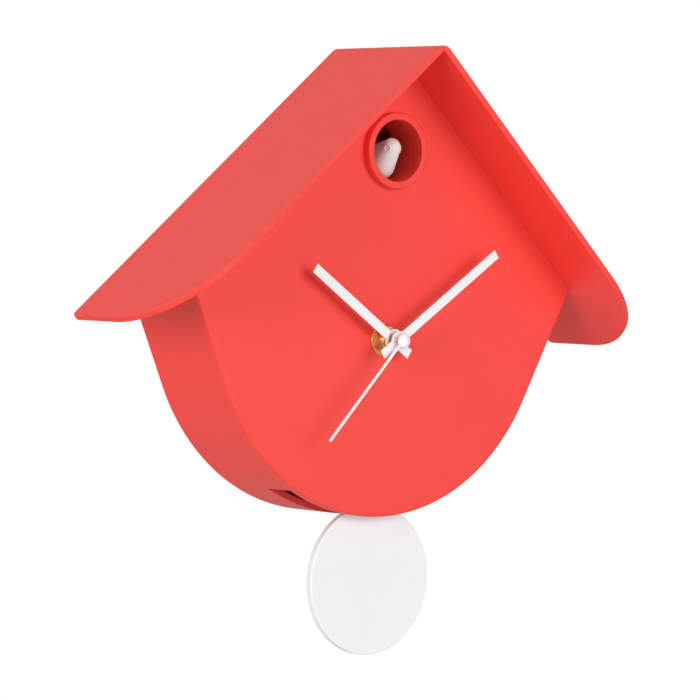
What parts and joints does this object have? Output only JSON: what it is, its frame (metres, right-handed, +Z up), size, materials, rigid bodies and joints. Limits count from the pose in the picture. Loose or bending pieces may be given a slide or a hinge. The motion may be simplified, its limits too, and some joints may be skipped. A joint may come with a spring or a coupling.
{
  "type": "cuckoo clock",
  "caption": "Wall cuckoo clock with a bent slab roof over a shield-shaped case, a bird in a round window, plain hands and a disc pendulum.",
  "frame": {"origin": "Centre of the round hole in the steel hanger plate, on the rear plane that meets the wall.", "axes": "+X to the dial's right as a person reads it, +Y from the dial to the wall, +Z up."},
  "size_m": [0.2448, 0.07, 0.2378],
  "materials": {
    "red_plastic": "smooth satin, soft to the touch",
    "black_plastic": "fine moulded texture",
    "white_plastic": "satin",
    "white_enamel": "satin white enamel",
    "brass": "turned, slightly dulled",
    "steel": "plated",
    "cell_jacket": "printed jacket, plain",
    "rubber": "matte",
    "copper_wire": "enamelled copper winding",
    "green_board": "solder-masked circuit board",
    "cone_paper": "pressed paper",
    "sensor_resin": "clear-coated resin"
  },
  "bodies": {
    "housing": {"case_shell": "red_plastic", "roof": "red_plastic", "roof_screws": "steel", "window_ring": "red_plastic", "back_cover": "red_plastic", "cover_screws": "steel", "hanger_plate": "steel", "hanger_rivets": "steel", "battery_box": "black_plastic", "bird_cells": "cell_jacket", "clock_cell": "cell_jacket", "cell_springs": "steel", "cell_tabs": "steel", "movement_front": "black_plastic", "movement_back": "black_plastic", "threaded_bush": "brass", "hex_nut": "brass", "dial_washer": "brass", "rubber_washer": "rubber", "mid_plate": "white_plastic", "drive_coil": "copper_wire", "coil_core": "steel", "stator": "steel", "circuit_board": "green_board", "pendulum_bracket": "black_plastic", "pendulum_coil": "copper_wire", "pendulum_pin": "steel", "bird_frame": "black_plastic", "bird_frame_screws": "steel", "motor": "steel", "speaker_basket": "steel", "speaker_cone": "cone_paper", "speaker_magnet": "steel", "sound_board": "green_board", "board_parts": "black_plastic", "light_sensor": "sensor_resin", "switch_body": "black_plastic"},
    "seconds": {"seconds_wheel": "white_plastic", "second_hand": "white_enamel", "second_cap": "white_enamel"},
    "rotor": {"rotor": "white_plastic"},
    "intermediate": {"intermediate_wheel": "white_plastic"},
    "third": {"third_wheel": "white_plastic"},
    "clutch": {"clutch_wheel": "white_plastic"},
    "minutes": {"minute_pipe": "brass", "minute_hand": "white_enamel"},
    "reversing": {"reversing_wheel": "white_plastic"},
    "hours": {"hour_wheel": "brass", "hour_hand": "white_enamel"},
    "knob": {"setting_knob": "black_plastic"},
    "pendulum": {"pendulum_arm": "white_plastic", "pendulum_magnet": "steel", "pendulum_rod": "steel", "pendulum_disc": "white_enamel"},
    "bird": {"bird": "white_plastic", "bird_rack": "white_plastic"},
    "rack_drive": {"rack_gear": "white_plastic"},
    "motor_shaft": {"motor_pinion": "brass"},
    "door": {"battery_door": "red_plastic"},
    "switch": {"switch_slider": "white_plastic"}
  },
  "joints": [
    {"name": "second_spin", "type": "hinge", "parent": "housing", "child": "seconds", "pos_m": [0, -0.03, -0.0898], "axis": [0, 1, 0], "continuous": true},
    {"name": "rotor_spin", "type": "hinge", "parent": "housing", "child": "rotor", "pos_m": [-0.01663, -0.03, -0.08867], "axis": [0, 1, 0], "continuous": true},
    {"name": "intermediate_spin", "type": "hinge", "parent": "housing", "child": "intermediate", "pos_m": [-0.00987, -0.03, -0.08621], "axis": [0, 1, 0], "continuous": true},
    {"name": "third_spin", "type": "hinge", "parent": "housing", "child": "third", "pos_m": [0, -0.03, -0.07756], "axis": [0, 1, 0], "continuous": true},
    {"name": "clutch_spin", "type": "hinge", "parent": "housing", "child": "clutch", "pos_m": [0, -0.03, -0.0898], "axis": [0, 1, 0], "continuous": true},
    {"name": "minute_spin", "type": "hinge", "parent": "housing", "child": "minutes", "pos_m": [0, -0.03, -0.0898], "axis": [0, 1, 0], "continuous": true},
    {"name": "reversing_spin", "type": "hinge", "parent": "housing", "child": "reversing", "pos_m": [0.0096, -0.03, -0.0898], "axis": [0, 1, 0], "continuous": true},
    {"name": "hour_spin", "type": "hinge", "parent": "housing", "child": "hours", "pos_m": [0, -0.03, -0.0898], "axis": [0, 1, 0], "continuous": true},
    {"name": "knob_spin", "type": "hinge", "parent": "housing", "child": "knob", "pos_m": [0.0192, -0.03, -0.0898], "axis": [0, 1, 0], "continuous": true},
    {"name": "pendulum_swing", "type": "hinge", "parent": "housing", "child": "pendulum", "pos_m": [0, -0.0331, -0.12345], "axis": [0, -1, 0], "range_deg": [-17.2, 6.8]},
    {"name": "bird_slide", "type": "slide", "parent": "housing", "child": "bird", "axis": [0, -1, 0], "range_m": [0, 0.013]},
    {"name": "rack_gear_spin", "type": "hinge", "parent": "housing", "child": "rack_drive", "pos_m": [0, -0.019, -0.0286], "axis": [1, 0, 0], "range_deg": [-1, 134]},
    {"name": "motor_spin", "type": "hinge", "parent": "housing", "child": "motor_shaft", "pos_m": [0, -0.019, -0.03765], "axis": [1, 0, 0], "range_deg": [-348, 1]},
    {"name": "door_hinge", "type": "hinge", "parent": "housing", "child": "door", "pos_m": [0.05, -0.0011, -0.1135], "axis": [-1, 0, 0], "range_deg": [0, 95]},
    {"name": "switch_slide", "type": "slide", "parent": "housing", "child": "switch", "axis": [1, 0, 0], "range_m": [0, 0.005]}
  ],
  "couplings": [
    {"joint": "rotor_spin", "follows": "second_spin", "ratio": 30},
    {"joint": "intermediate_spin", "follows": "second_spin", "ratio": -6},
    {"joint": "third_spin", "follows": "second_spin", "ratio": -0.13333},
    {"joint": "clutch_spin", "follows": "second_spin", "ratio": 0.016667},
    {"joint": "reversing_spin", "follows": "minute_spin", "ratio": -0.33333},
    {"joint": "hour_spin", "follows": "minute_spin", "ratio": 0.083333},
    {"joint": "knob_spin", "follows": "minute_spin", "ratio": 1},
    {"joint": "rack_gear_spin", "follows": "bird_slide", "rad_per_m": 178.57},
    {"joint": "motor_spin", "follows": "bird_slide", "rad_per_m": -464.29}
  ]
}
